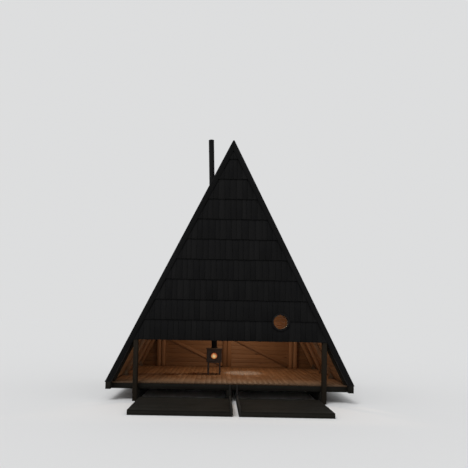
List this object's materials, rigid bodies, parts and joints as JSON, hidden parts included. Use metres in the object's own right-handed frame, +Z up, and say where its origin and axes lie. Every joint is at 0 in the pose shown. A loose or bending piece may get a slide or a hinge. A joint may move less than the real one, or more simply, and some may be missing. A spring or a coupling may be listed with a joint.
{
  "type": "a-frame cabin",
  "caption": "Black A-frame cabin on timber skids, with a porthole in its clad gable, an open band below it, a pale timber room, an iron stove, a leaning flue and a low deck.",
  "frame": {"origin": "middle of the footprint, deck included, at ground level", "axes": "+X to the right seen from the front, +Y from the front gable to the back one, +Z up"},
  "size_m": [6.4, 6.13, 7.5827],
  "materials": {
    "weathered_timber": "rough sawn",
    "pale_timber": "planed",
    "floor_timber": "planed",
    "lining_timber": "planed",
    "black_timber": "matt",
    "grey_steel": "satin",
    "black_iron": "matt",
    "black_steel": "matt",
    "clear_glass": "gloss",
    "fire_glass": "gloss"
  },
  "bodies": {
    "root": {"skid_left": "weathered_timber", "skid_middle": "weathered_timber", "skid_right": "weathered_timber", "front_rim": "weathered_timber", "back_rim": "weathered_timber", "left_sill": "weathered_timber", "right_sill": "weathered_timber", "floor_joists": "weathered_timber", "deck_left": "weathered_timber", "deck_right": "weathered_timber", "front_post_left": "pale_timber", "front_post_right": "pale_timber", "front_beam": "pale_timber", "frame_front": "pale_timber", "frame_second": "pale_timber", "frame_third": "pale_timber", "frame_back": "pale_timber", "ridge_beam": "pale_timber", "front_gable_wall": "pale_timber", "back_gable_wall": "pale_timber", "back_stud_left": "pale_timber", "back_stud_middle": "pale_timber", "back_stud_right": "pale_timber", "back_rail": "pale_timber", "back_brace_left": "pale_timber", "back_brace_right": "pale_timber", "deck_runners": "pale_timber", "floor_boards": "floor_timber", "left_roof_courses": "black_timber", "right_roof_courses": "black_timber", "front_bargeboards": "black_timber", "back_bargeboards": "black_timber", "ridge_cap": "black_timber", "front_gable_courses": "black_timber", "back_gable_courses": "black_timber", "left_roof_deck": "lining_timber", "right_roof_deck": "lining_timber", "rafter_shoes": "grey_steel", "stove_body": "black_iron", "stove_door": "black_iron", "porthole_frame": "black_iron", "flue_pipe": "black_steel", "flue_flashing": "black_steel", "porthole_glass": "clear_glass", "stove_glass": "fire_glass"}
  },
  "joints": []
}
